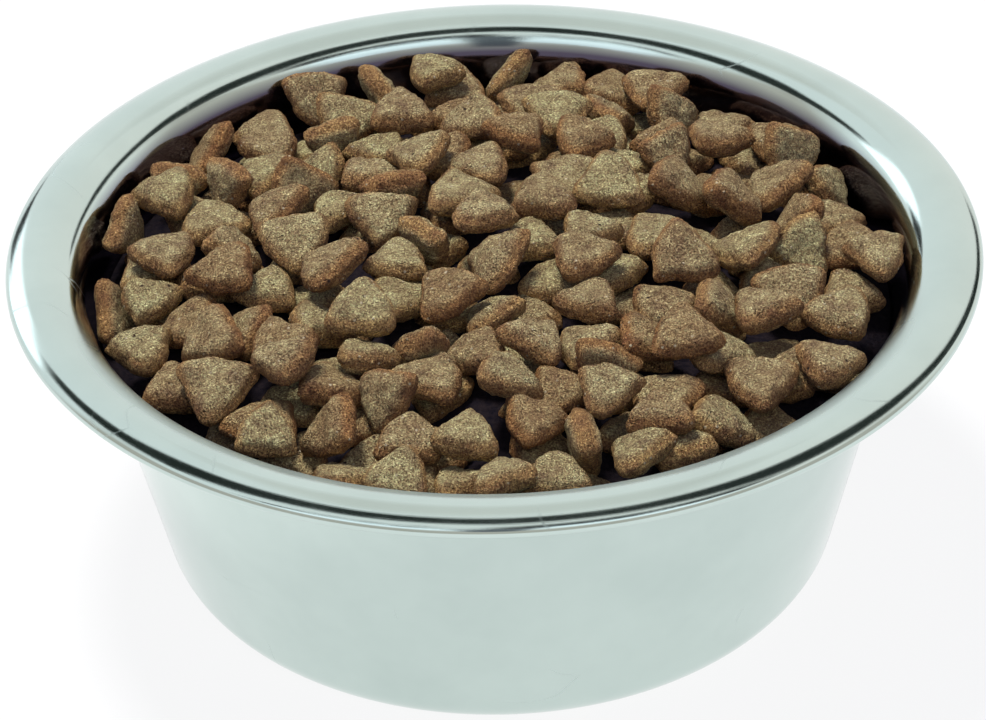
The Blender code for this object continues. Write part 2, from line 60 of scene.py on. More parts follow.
# Driving dimensions of the bowl
RIM_DIAMETER = 0.176
BOWL_HEIGHT = 0.0645
SHEET = 0.0006
RIM_ROLL_RADIUS = 0.009
RIM_ROLL_END = math.radians(32)
HEM_RADIUS = 0.001
HEM_TURN = math.radians(150)
WALL_TAPER = math.radians(12.2)
BASE_CORNER_RADIUS = 0.008

# Driving dimensions of the kibble
KIBBLE_WIDTH = 0.0126
KIBBLE_THICKNESS = 0.0064
SIDE_ARC = 2.0
SHOULDER = 0.74

# Driving dimensions of the heap
HEAP_RISE = 0.0035
HEAP_EDGE_DROP = 0.0028
TOP_LAYERS_DEPTH = 0.0120
CORE_SINK = 0.0026
LEAST_GRIP = 0.0008
FUSED_OVER_DOME = 0.0022
LOOSE_OVER_DOME = 0.0044

# Clearances
SEAT_GAP = 0.0003
FUSED_GAP = -0.0004
RAISE_STEP = 0.00005
LOWER_STEP = 0.0002
MOST_LOWERED = 0.0030
LEAST_SHARED = 0.0001
SHARE_STEPS = 60

# How far round a kibble its own shape and its neighbours reach
PATCH_REACH = 0.75 * KIBBLE_WIDTH
NEIGHBOUR_REACH = 1.5 * KIBBLE_WIDTH

# How the heap is filled
SEED = 29
GRID_STEP = 0.00075
BED_KIBBLES = 64
MOST_FILLERS = 40
SPOTS_TRIED = 300
LEANS_TRIED = 12
MISSES_ALLOWED = 8
NUDGE = 0.0012
NUDGES_TRIED = 24
SWAY = math.radians(6)
SWAYS_TRIED = 12
LEAN_SPREAD = math.radians(36)
STEEPEST_LEAN = math.radians(84)

# How finely the heap's core is cut
CORE_RINGS = 5
CORE_CORNER_FACETS = 3

# Below these, points are one and a slope is level
MERGE_WITHIN = 0.00001
LEVEL = 1e-6

# The shapes a kibble comes in: width and thickness as shares of the usual ones, how crisp its
# corners are, and how far its third corner is drawn out
SHAPES = (
    (1.00, 1.00, 8.0, 1.00),
    (1.05, 0.96, 6.0, 1.06),
    (0.94, 1.05, 10.0, 0.95),
    (1.02, 1.08, 7.0, 0.90),
    (0.92, 0.98, 12.0, 1.12),
)

# Kibbles with a set place, the same rows as in the part's source. A program of the builder's worked
# them out from marks that were read off the photograph. Each row is: distance from the axis as
# a share of the heap's radius, bearing, lean of the kibble's face from level, bearing that the face
# leans towards, and turn about the kibble's own axis. Bearings run anticlockwise from +X, in degrees.
# The buried kibbles sink into the core and are one solid with it. The loose ones rest on them.
BURIED_KIBBLES = (
    (0.95, 154, 15, 110, 60), (0.85, 176, 5, 90, 60), (0.61, 136, 25, 240, 110),
    (0.47, 132, 15, 75, 60), (0.55, 121, 5, 270, 0), (0.82, 93, 10, 270, 30), (0.30, 21, 5, 90, 0),
    (0.88, 30, 25, 180, 70), (0.95, 17, 30, 20, 40), (0.52, 8, 15, 30, 50), (0.69, 3, 20, 270, 115),
    (0.94, 188, 75, 355, 80), (0.83, 189, 15, 270, 65), (0.69, 183, 15, 70, 60), (0.53, 196, 0, 270, 0),
    (0.35, 221, 10, 165, 70), (0.86, 230, 10, 330, 0), (0.79, 247, 25, 260, 15),
    (0.69, 238, 25, 30, 50), (0.59, 239, 15, 70, 60), (0.76, 234, 70, 190, 105),
    (0.21, 310, 20, 310, 30), (0.31, 331, 5, 270, 70), (0.46, 323, 15, 270, 70),
    (0.42, 261, 25, 190, 5), (0.49, 298, 10, 185, 70), (0.53, 256, 10, 15, 0), (0.60, 281, 5, 270, 60),
    (0.86, 255, 15, 300, 105), (0.70, 274, 25, 345, 75), (0.87, 273, 10, 210, 20),
    (0.88, 281, 10, 270, 55), (0.91, 264, 15, 90, 60), (0.84, 298, 20, 105, 60),
    (0.93, 292, 25, 145, 70), (0.63, 273, 35, 0, 35), (0.94, 341, 40, 190, 100),
    (0.57, 329, 45, 10, 40), (0.69, 331, 25, 140, 70), (0.92, 315, 20, 270, 30), (0.87, 308, 25, 5, 35),
    (0.75, 304, 25, 180, 70), (0.91, 331, 25, 0, 35), (0.86, 133, 10, 210, 10),
    (0.95, 170, 80, 350, 80), (0.76, 112, 5, 270, 105), (0.95, 103, 40, 190, 80),
    (0.87, 99, 10, 90, 60), (0.95, 85, 15, 90, 60), (0.89, 76, 5, 270, 80), (0.94, 70, 25, 345, 15),
    (0.88, 64, 15, 200, 80), (0.95, 59, 5, 90, 60), (0.61, 63, 5, 270, 10), (0.80, 57, 20, 270, 30),
    (0.63, 96, 10, 330, 0), (0.58, 86, 20, 220, 15), (0.47, 68, 20, 15, 60), (0.44, 102, 10, 210, 0),
    (0.44, 149, 10, 165, 75), (0.81, 157, 5, 270, 60), (0.69, 163, 5, 90, 60), (0.25, 213, 5, 270, 30),
    (0.33, 102, 25, 195, 10), (0.40, 38, 10, 210, 80), (0.59, 28, 20, 25, 60), (0.84, 3, 5, 90, 30),
    (0.27, 358, 5, 90, 60), (0.12, 340, 5, 270, 30), (0.65, 352, 5, 270, 30), (0.93, 195, 5, 90, 60),
    (0.79, 196, 25, 180, 115), (0.64, 206, 35, 185, 90), (0.50, 212, 10, 35, 60),
    (0.30, 268, 25, 145, 70), (0.52, 311, 30, 10, 60), (0.68, 322, 25, 0, 60), (0.83, 325, 25, 195, 5),
    (0.90, 212, 5, 90, 30), (0.67, 290, 5, 270, 90), (0.76, 255, 5, 90, 30), (0.93, 241, 10, 90, 60),
    (0.93, 248, 15, 90, 60), (0.94, 300, 25, 145, 70),
)
LOOSE_KIBBLES = (
    (0.95, 120, 40, 270, 90), (0.93, 144, 50, 170, 80), (0.85, 147, 55, 160, 80), (0.88, 163, 5, 35, 0),
    (0.69, 147, 20, 180, 70), (0.59, 161, 40, 170, 80), (0.51, 175, 25, 270, 100),
    (0.64, 176, 40, 15, 40), (0.29, 154, 20, 285, 95), (0.38, 178, 75, 190, 105),
    (0.73, 80, 15, 270, 90), (0.60, 74, 5, 270, 80), (0.60, 49, 20, 270, 115), (0.66, 108, 15, 270, 30),
    (0.40, 82, 10, 35, 5), (0.32, 54, 20, 270, 95), (0.24, 126, 15, 45, 60), (0.18, 86, 20, 255, 25),
    (0.16, 35, 10, 270, 30), (0.01, 6, 10, 55, 50), (0.47, 28, 35, 5, 40), (0.41, 2, 15, 45, 55),
    (0.14, 184, 20, 270, 30), (0.83, 45, 0, 270, 60), (0.93, 37, 10, 270, 80), (0.71, 40, 15, 70, 60),
    (0.73, 20, 25, 165, 70), (0.69, 28, 55, 185, 100), (0.58, 18, 45, 10, 40), (0.85, 14, 20, 40, 50),
    (0.68, 196, 10, 225, 5), (0.41, 204, 25, 165, 70), (0.90, 203, 15, 240, 0),
    (0.76, 210, 25, 215, 25), (0.62, 220, 5, 35, 60), (0.51, 230, 20, 270, 40),
    (0.85, 220, 20, 260, 85), (0.74, 226, 30, 180, 80), (0.92, 230, 30, 20, 45),
    (0.82, 240, 50, 200, 5), (0.31, 248, 5, 225, 55), (0.17, 273, 30, 190, 75), (0.38, 307, 5, 90, 0),
    (0.44, 340, 25, 270, 40), (0.45, 277, 5, 355, 0), (0.67, 262, 25, 265, 65),
    (0.66, 302, 20, 150, 70), (0.82, 265, 10, 245, 15), (0.76, 282, 40, 170, 80),
    (0.87, 290, 30, 270, 50), (0.56, 345, 20, 270, 90), (0.72, 344, 20, 270, 100),
    (0.84, 353, 10, 270, 40), (0.82, 339, 20, 270, 115), (0.95, 355, 15, 270, 110),
    (0.64, 314, 15, 270, 45), (0.82, 314, 20, 270, 90), (0.93, 323, 5, 225, 65),
)


def arc(centre_r, centre_z, radius, start, end, count):
    """Points (r, z) round a circle. An angle of 0 points up the +Z axis, and 90 degrees points out."""
    step = (end - start) / count
    angles = [start + step * i for i in range(count + 1)]
    return [(centre_r + radius * math.sin(angle), centre_z + radius * math.cos(angle)) for angle in angles]


def crown_place():
    """Radius and height of the centre of the rim's roll."""
    radius = RIM_DIAMETER / 2 - HEM_RADIUS - (RIM_ROLL_RADIUS - HEM_RADIUS) * math.sin(RIM_ROLL_END)
    return radius, BOWL_HEIGHT - RIM_ROLL_RADIUS


def wall_inner_radius(height):
    """Inside radius of the tapered wall at a height, carried on straight above the wall's top."""
    crown_r, crown_z = crown_place()
    top_r = crown_r - RIM_ROLL_RADIUS * math.cos(WALL_TAPER)
    top_z = crown_z + RIM_ROLL_RADIUS * math.sin(WALL_TAPER)
    return top_r + (height - top_z) * math.tan(WALL_TAPER)


def corner_arc(inset, count):
    """The rounded corner between base and wall, on a face set in from the bowl's inner face."""
    radius = BASE_CORNER_RADIUS - SHEET - inset
    centre_z = BASE_CORNER_RADIUS
    reach = radius + inset
    centre_r = wall_inner_radius(centre_z) - reach / math.cos(WALL_TAPER)
    return arc(centre_r, centre_z, radius, math.pi, math.pi / 2 + WALL_TAPER, count)


def new_object(name, data):
    made = bpy.data.objects.new(name, data)
    bpy.context.scene.collection.objects.link(made)
    return made


def turned_mesh(name, profile, steps, sheet=0.0):
    """A mesh that turns an (r, z) profile about the Z axis, thickened to a shell if sheet is given."""
    mesh = bpy.data.meshes.new(name)
    points = [(r, 0.0, z) for r, z in profile]
    mesh.from_pydata(points, [(i, i + 1) for i in range(len(points) - 1)], [])
    made = new_object(name, mesh)
    screw = made.modifiers.new("turn", "SCREW")
    screw.axis = "Z"
    screw.steps = steps
    screw.render_steps = steps
    screw.use_merge_vertices = True
    screw.merge_threshold = MERGE_WITHIN
    if sheet:
        shell = made.modifiers.new("sheet", "SOLIDIFY")
        shell.thickness = sheet
        shell.offset = -1.0
    return made


def heap_top(radius):
    """Height of the heap's domed top at a distance from the axis."""
    edge = wall_inner_radius(BOWL_HEIGHT - HEAP_EDGE_DROP)
    share = np.minimum(radius / edge, 1.0)
    return BOWL_HEIGHT + HEAP_RISE - (HEAP_RISE + HEAP_EDGE_DROP) * share**2


def core_top(radius):
    return heap_top(radius) - TOP_LAYERS_DEPTH


def sunk_floor(radius):
    """How deep the buried kibbles sink."""
    return core_top(radius) - CORE_SINK


def clear_floor(radius):
    """The lowest that a loose kibble may lie."""
    return core_top(radius) + 2 * SEAT_GAP


def core_profile():
    """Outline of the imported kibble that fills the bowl, from the middle of its top down to its base."""
    inset = SEAT_GAP
    lean_inset = inset / math.cos(WALL_TAPER)
    edge_z = BOWL_HEIGHT - HEAP_EDGE_DROP - TOP_LAYERS_DEPTH
    edge_r = wall_inner_radius(edge_z) - lean_inset
    ring_radii = [edge_r * i / CORE_RINGS for i in range(CORE_RINGS)]
    top = [(radius, float(core_top(radius))) for radius in ring_radii]
    corner = corner_arc(inset, CORE_CORNER_FACETS)
    return top + [(edge_r, edge_z)] + corner[::-1] + [(0.0, SHEET + inset)]


def kibble_outline(angle, crisp, stretch):
    """Distance from a kibble's middle to its edge, where the nearest point of a side is at 1.

    The edge is three shallow arcs, whose corners are rounded less the larger crisp is.
    """
    total = 0.0
    for side in range(3):
        off = angle - side * math.tau / 3
        across = math.sqrt(SIDE_ARC**2 - ((SIDE_ARC - 1) * math.sin(off)) ** 2)
        total += (across - (SIDE_ARC - 1) * math.cos(off)) ** -crisp
    drawn = 1 + (stretch - 1) * max(0.0, math.cos(angle - math.pi))
    return total ** (-1 / crisp) * drawn


def kibble_hull(shape, edge_angles):
    """A coarse kibble as (corner points, face normals, face distances), all about its middle."""
    width_share, thick_share, crisp, stretch = shape
    across = 1 + kibble_outline(math.pi, crisp, 1.0)
    side = KIBBLE_WIDTH * width_share / across
    half_thick = KIBBLE_THICKNESS * thick_share / 2
    points = [(0.0, 0.0, half_thick), (0.0, 0.0, -half_thick)]
    for reach, height in ((1.0, 0.0), (SHOULDER, SHOULDER), (SHOULDER, -SHOULDER)):
        for third in range(3):
            for degrees in edge_angles:
                angle = math.radians(120 * third + degrees)
                radius = side * reach * kibble_outline(angle, crisp, stretch)
                points.append((radius * math.cos(angle), radius * math.sin(angle), half_thick * height))
    shell = bmesh.new()
    for point in points:
        shell.verts.new(point)
    bmesh.ops.convex_hull(shell, input=shell.verts)
    bmesh.ops.triangulate(shell, faces=shell.faces)
    shell.normal_update()
    corners = np.array([vert.co for vert in shell.verts])
    normals = np.array([face.normal for face in shell.faces])
    starts = np.array([face.verts[0].co for face in shell.faces])
    shell.free()
    return corners, normals, (normals * starts).sum(axis=1)


def leaning(lean, towards, turn):
    """Rotation that turns a kibble about its own axis, then leans its face towards a bearing."""
    spin = math.cos(turn - towards), math.sin(turn - towards)
    about_axis = np.array([[spin[0], -spin[1], 0], [spin[1], spin[0], 0], [0, 0, 1]])
    tip = np.array([[math.cos(lean), 0, math.sin(lean)], [0, 1, 0], [-math.sin(lean), 0, math.cos(lean)]])
    face = math.cos(towards), math.sin(towards)
    to_bearing = np.array([[face[0], -face[1], 0], [face[1], face[0], 0], [0, 0, 1]])
    return to_bearing @ tip @ about_axis


class Heap:
    """Kibbles laid one by one, each let down until it rests on the wall, the core or its neighbours."""

    def __init__(self):
        self.placed = []
        reach = RIM_DIAMETER / 2
        self.half_cells = int(math.ceil(reach / GRID_STEP))
        self.pad = int(math.ceil(PATCH_REACH / GRID_STEP))
        count = 2 * (self.half_cells + self.pad) + 1
        axis = (np.arange(count) - self.half_cells - self.pad) * GRID_STEP
        self.height = np.full((count, count), -1.0)
        self.radius = np.hypot(axis[:, None], axis[None, :])
        near = (np.arange(2 * self.pad + 1) - self.pad) * GRID_STEP
        self.near_x, self.near_y = np.meshgrid(near, near, indexing="ij")

    def set_floor(self, floor):
        """Gives the heap a floor whose height is a function of the distance from the axis."""
        self.floor = floor(self.radius)
        self.floor_at = floor

    def surfaces(self, normals, distances, swell):
        """Lowest and highest point of a turned hull over each cell near it, with NaN beside it."""
        flat = distances + swell
        over = normals[:, 0, None, None] * self.near_x + normals[:, 1, None, None] * self.near_y
        rise = normals[:, 2]
        up, down, upright = rise > LEVEL, rise < -LEVEL, abs(rise) <= LEVEL
        top = ((flat[up, None, None] - over[up]) / rise[up, None, None]).min(axis=0)
        low = ((flat[down, None, None] - over[down]) / rise[down, None, None]).max(axis=0)
        outside = top <= low
        if upright.any():
            outside |= (over[upright] > flat[upright, None, None]).any(axis=0)
        low[outside] = np.nan
        top[outside] = np.nan
        return low, top

    def rest_heights(self, low, cells):
        """How high a hull's middle lies when it rests at each of these cells."""
        inside = ~np.isnan(low)
        offset_x, offset_y = np.nonzero(inside)
        rows = cells[:, 0, None] + offset_x[None, :] - self.pad
        columns = cells[:, 1, None] + offset_y[None, :] - self.pad
        under = np.maximum(self.height[rows, columns], self.floor[rows, columns])
        return (under - low[inside][None, :]).max(axis=1)

    def wall_heights(self, corners, centres):
        """How high a hull's middle must lie at each centre to clear the bowl's wall and roll."""
        x = centres[:, 0, None] + corners[None, :, 0]
        y = centres[:, 1, None] + corners[None, :, 1]
        reach = np.hypot(x, y)
        wide = reach + SEAT_GAP / math.cos(WALL_TAPER)
        needed = (wide - wall_inner_radius(0.0)) / math.tan(WALL_TAPER)
        crown_r, crown_z = crown_place()
        clear = RIM_ROLL_RADIUS + SEAT_GAP
        short = np.clip(crown_r - reach, 0.0, clear)
        on_roll = crown_z + np.sqrt(clear**2 - short**2)
        needed = np.where(short < clear * math.cos(WALL_TAPER), on_roll, needed)
        return (needed - corners[None, :, 2]).max(axis=1)

    def clearance(self, others, corners, normals, distances, middle, free):
        """Least gap, beyond the one wanted, from a hull with this middle to the others."""
        least = 1.0
        mine = corners + middle
        mine_flat = distances + normals @ middle
        for other_corners, other_normals, other_flat, other_middle, other_free in others:
            if np.abs(other_middle - middle).max() > NEIGHBOUR_REACH:
                continue
            wanted = SEAT_GAP if free or other_free else FUSED_GAP
            past_mine = (other_corners @ normals.T - mine_flat).min(axis=0).max()
            past_other = (mine @ other_normals.T - other_flat).min(axis=0).max()
            least = min(least, max(past_mine, past_other) - wanted)
            if least < 0:
                break
        return least

    def settle(self, hull, turned, x, y, height, free):
        """The lowest middle about this height that clears the wall and its neighbours."""
        corners = hull[0] @ turned.T
        normals = hull[1] @ turned.T
        middle = np.array([x, y, height - 2 * SEAT_GAP])
        middle[2] = max(middle[2], self.lowest_middle(hull, turned, middle))
        while self.clearance(self.placed, corners, normals, hull[2], middle, free) < 0:
            middle[2] += RAISE_STEP
        return middle

    def shares(self, others, hull, turned, middle, depth):
        """Whether a hull with this middle reaches this deep into another, or, below 0, this near."""
        normals = hull[1] @ turned.T
        flat = hull[2] + normals @ middle
        for _, other_normals, other_flat, other_middle, _ in others:
            if np.linalg.norm(other_middle - middle) > NEIGHBOUR_REACH:
                continue
            both = np.vstack([normals, other_normals])
            limits = np.concatenate([flat, other_flat]) - depth
            point = (middle + other_middle) / 2
            for _ in range(SHARE_STEPS):
                past = both @ point - limits
                worst = int(np.argmax(past))
                if past[worst] <= abs(depth) / 2:
                    return True
                point = point - both[worst] * past[worst]
        return False

    def lowest_middle(self, hull, turned, middle):
        """How low a hull's middle may come, straight down, for the wall and the floor."""
        corners = hull[0] @ turned.T
        wall = float(self.wall_heights(corners, middle[None, :2])[0])
        under = self.floor_at(np.hypot(corners[:, 0] + middle[0], corners[:, 1] + middle[1]))
        return max(wall, float((under - corners[:, 2]).max()))

    def lower_until_fused(self, hull, turned, middle):
        """The middle, let down until its hull joins the core or a neighbour, or None."""
        solid_ones = [other for other in self.placed if not other[4]]
        free_ones = [other for other in self.placed if other[4]]
        lowest = max(middle[2] - MOST_LOWERED, self.lowest_middle(hull, turned, middle))
        while not grips_core(hull, turned, middle):
            if self.shares(solid_ones, hull, turned, middle, LEAST_SHARED):
                break
            middle = middle - (0.0, 0.0, LOWER_STEP)
            if middle[2] < lowest:
                return None
        corners = hull[0] @ turned.T
        normals = hull[1] @ turned.T
        if self.clearance(free_ones, corners, normals, hull[2], middle, False) < 0:
            return None
        return middle

    def lower_until_near(self, hull, turned, middle):
        """The middle, let down until its hull is within a seat's gap of a neighbour."""
        lowest = max(middle[2] - MOST_LOWERED, self.lowest_middle(hull, turned, middle))
        while middle[2] - LOWER_STEP >= lowest:
            lower = middle - (0.0, 0.0, LOWER_STEP)
            if self.shares(self.placed, hull, turned, lower, -SEAT_GAP):
                break
            middle = lower
        return middle

    def lay(self, hull, turned, middle, free):
        corners, normals, distances = hull
        turned_corners = corners @ turned.T
        turned_normals = normals @ turned.T
        flat = distances + turned_normals @ middle
        self.placed.append((turned_corners + middle, turned_normals, flat, middle, free))
        cell_x = int(round(middle[0] / GRID_STEP)) + self.half_cells + self.pad
        cell_y = int(round(middle[1] / GRID_STEP)) + self.half_cells + self.pad
        _, top = self.surfaces(turned_normals, distances, SEAT_GAP if free else 0.0)
        rows = slice(cell_x - self.pad, cell_x + self.pad + 1)
        columns = slice(cell_y - self.pad, cell_y + self.pad + 1)
        patch = self.height[rows, columns]
        self.height[rows, columns] = np.fmax(patch, top + middle[2])

    def best_place(self, hull, leans, cells):
        """The lowest rest among these leans and cells, as (rotation, x, y, height)."""
        corners, normals, distances = hull
        centres = (cells - self.half_cells - self.pad) * GRID_STEP
        best = None
        for turned in leans:
            turned_corners = corners @ turned.T
            low, _ = self.surfaces(normals @ turned.T, distances, 0.0)
            heights = self.rest_heights(low, cells)
            heights = np.maximum(heights, self.wall_heights(turned_corners, centres))
            over_dome = heights - heap_top(np.hypot(centres[:, 0], centres[:, 1]))
            pick = int(np.argmin(over_dome))
            if best is None or over_dome[pick] < best[0]:
                best = (over_dome[pick], turned, *centres[pick], heights[pick])
        return best[1:]


def random_leans(rng, count):
    leans = []
    for _ in range(count):
        lean = min(abs(rng.normal(0.0, LEAN_SPREAD)), STEEPEST_LEAN)
        leans.append(leaning(lean, rng.uniform(0, math.tau), rng.uniform(0, math.tau)))
    return leans


def place_row(heap, rng, hull, row, free):
    """Rotation and middle of a listed kibble where it nestles lowest, near its place and lean."""
    out, bearing, lean, towards, turn = row
    radius = wall_inner_radius(BOWL_HEIGHT - HEAP_EDGE_DROP)
    x = radius * out * math.cos(math.radians(bearing))
    y = radius * out * math.sin(math.radians(bearing))
    nudges = rng.normal(0.0, NUDGE, (NUDGES_TRIED, 2))
    nudges[0] = 0.0
    cells = np.rint((nudges + (x, y)) / GRID_STEP).astype(int) + heap.half_cells + heap.pad
    leans = []
    for sway in rng.normal(0.0, SWAY, (SWAYS_TRIED, 3)):
        leans.append(leaning(*(np.radians((lean, towards, turn)) + sway)))
    turned, x, y, height = heap.best_place(hull, leans, cells)
    return turned, heap.settle(hull, turned, x, y, height, free)


def over_dome(hull, turned, middle):
    """How far a kibble's highest corner stands over the heap's dome."""
    points = hull[0] @ turned.T + middle
    return float((points[:, 2] - heap_top(np.hypot(points[:, 0], points[:, 1]))).max())


def grips_core(hull, turned, middle):
    points = hull[0] @ turned.T + middle
    depth = core_top(np.hypot(points[:, 0], points[:, 1])) - points[:, 2]
    return depth.max() >= LEAST_GRIP


def lay_fused(heap, hull, turned, middle, laid):
    """Lays a kibble of the heap's one solid, unless it would hang free of it."""
    middle = heap.lower_until_fused(hull, turned, middle)
    if middle is None:
        return
    heap.lay(hull, turned, middle, False)
    laid.append((hull, turned, middle))


def lay_buried(heap, hulls, rng):
    """Lays the listed kibbles that are part of the heap's one solid."""
    laid = []
    for number, row in enumerate(BURIED_KIBBLES):
        hull = hulls[number % len(hulls)]
        turned, middle = place_row(heap, rng, hull, row, False)
        if over_dome(hull, turned, middle) < FUSED_OVER_DOME:
            lay_fused(heap, hull, turned, middle, laid)
    return laid


def lay_loose(heap, hulls, rng):
    """Lays the listed kibbles that lie free on the others."""
    laid = []
    for number, row in enumerate(LOOSE_KIBBLES):
        hull = hulls[number % len(hulls)]
        turned, middle = place_row(heap, rng, hull, row, True)
        middle = heap.lower_until_near(hull, turned, middle)
        if over_dome(hull, turned, middle) < LOOSE_OVER_DOME:
            heap.lay(hull, turned, middle, True)
            laid.append((hull, turned, middle))
    return laid


def lay_fillers(heap, hulls, rng, most, highest):
    """Drops kibbles into the lowest gaps, none with its top higher than this over the dome."""
    reach = int((wall_inner_radius(BOWL_HEIGHT) - KIBBLE_THICKNESS / 2) / GRID_STEP)
    laid = []
    misses = 0
    while len(laid) < most and misses < MISSES_ALLOWED:
        hull = hulls[int(rng.integers(len(hulls)))]
        spots = rng.integers(-reach, reach + 1, (2 * SPOTS_TRIED, 2))
        spots = spots[np.hypot(spots[:, 0], spots[:, 1]) <= reach][:SPOTS_TRIED]
        cells = spots + heap.half_cells + heap.pad
        turned, x, y, height = heap.best_place(hull, random_leans(rng, LEANS_TRIED), cells)
        middle = heap.settle(hull, turned, x, y, height, False)
        if over_dome(hull, turned, middle) < highest:
            lay_fused(heap, hull, turned, middle, laid)
        else:
            misses += 1
    return laid


# How finely the visible pieces are cut
FINE_SIDES = 54
BOWL_TURN_STEPS = 288
FINE_ROLL_FACETS = 64
FINE_HEM_FACETS = 14
FINE_CORNER_FACETS = 16
FINE_CORE_STEPS = 96
BASE_RING = 0.03
KIBBLES_PER_PIECE = 48

# How far the visible pieces keep inside their solids
BOWL_SHRINK = 0.9994
CAD_MARGIN = 0.00005

# A kibble's side view, as shares of its width and of its thickness from the middle of its face
# out to its edge
SIDE_VIEW = (
    (0.14, 1.0), (0.30, 0.985), (0.45, 0.955), (0.58, 0.915), (0.68, 0.86), (0.76, 0.785), (0.825, 0.685),
    (0.88, 0.555), (0.93, 0.405), (0.97, 0.255), (0.992, 0.14), (1.0, 0.045),
)

# How a fine kibble differs from its solid: its corners are crisper and drawn out, it is flatter, and
# where kibbles are one solid each is a little smaller, so that seams show between them
CRISPER = 2.6
POINTED = 1.55
POINTED_SHARE = 0.925
FLATTER = 0.93
FUSED_SHARE = 0.965

# How uneven a kibble is: how far its corners are swung, how deep its face is dished as shares of
# half its thickness, how wide the dish is, and the size and depth of each layer of bumps
SWING = 0.12
DISH = (-0.06, 0.22)
DISH_REACH = 0.5
LUMPS = ((0.0055, 0.00036), (0.0026, 0.00030), (0.0013, 0.00019), (0.0007, 0.00015))
LUMP_SINK = 0.28
NOISE_SEED = 7
SHAPE_SEED = 1000
TINT_SEED = 5000
FIRST_LOOSE_NUMBER = 900

# Where a kibble's browner edge starts and how wide its start is, as shares of its width
EDGE_START = 0.72
EDGE_FADE = 0.2

# A kibble's colours along a ramp: on its faces, on its edge, from one kibble to the next, and meal
FACE_COLOURS = ((0.30, (0.240, 0.150, 0.088)), (0.48, (0.405, 0.300, 0.155)), (0.64, (0.570, 0.475, 0.260)))
EDGE_COLOURS = ((0.30, (0.225, 0.105, 0.052)), (0.64, (0.520, 0.305, 0.125)))
KIBBLE_TINTS = ((0.0, (0.86, 0.76, 0.68)), (0.5, (1.0, 0.99, 0.95)), (1.0, (1.08, 1.16, 1.08)))
MEAL_COLOURS = (
    (0.34, (0.42, 0.33, 0.34)), (0.5, (0.96, 0.94, 0.93)), (0.62, (1.45, 1.60, 1.60)),
    (0.70, (2.30, 2.70, 2.80)),
)
CRUMB_COLOUR = (0.66, 0.55, 0.36)
FLECK_COLOUR = (0.055, 0.030, 0.022)
# Dark crumb colours with painted shade, for the bottom of the gaps between kibbles
GAP_CRUMB_AND_SHADE = ((0.3, (0.006, 0.006, 0.012)), (0.7, (0.030, 0.022, 0.024)))

# The steel's colours, and from where to where it turns dark inside with painted shade and a painted dark
# reflection of the kibbles, and is worn at its lip's front
STEEL_COLOURS = ((0.3, (0.545, 0.650, 0.615)), (0.7, (0.605, 0.715, 0.675)))
PAINTED_SHADE_STEEL = (0.13, 0.12, 0.19)
PAINTED_SHADE_FACING = (-0.02, -0.05)
PAINTED_SHADE_HEIGHT = (0.0615, 0.0595)
WORN_RADIUS = (0.0815, 0.0790)
WORN_FRONT = (-0.015, -0.045)
WORN_HEIGHT = (0.055, 0.058)
TURNED_LINES = 9000.0

# The camera, which stands where the photograph's did: its distance from the rim's middle, its rise
# over it, how its aim is turned from there, and its focal length in pixels of the photograph
VIEW_DISTANCE = 0.6195
VIEW_RISE = math.radians(32.967)
VIEW_YAW = math.radians(-0.0647)
VIEW_PITCH = math.radians(-1.485)
VIEW_ROLL = math.radians(-1.516)
PHOTO_WIDTH = 986.0
FOCAL_PIXELS = 3400.0
SENSOR_WIDTH = 36.0

# The world's colours: behind what is seen, mirrored from the left and the right, mirrored from low
# in front, and as light
WHITE = (1.0, 1.0, 1.0)
LEFT_WHITE = (0.97, 1.0, 1.02)
RIGHT_WHITE = (0.985, 0.955, 0.93)
LOW_GREY = (0.60, 0.55, 0.51)
DIM_LIGHT = (0.255, 0.265, 0.40)
FLOOR_REACH = 6.0
FLOOR_COLOUR = (0.9, 0.9, 0.9)
FLOOR_GLOW = 0.88

# Height of the cards over the surface that the bowl stands on
CARD_HEIGHT = 0.614

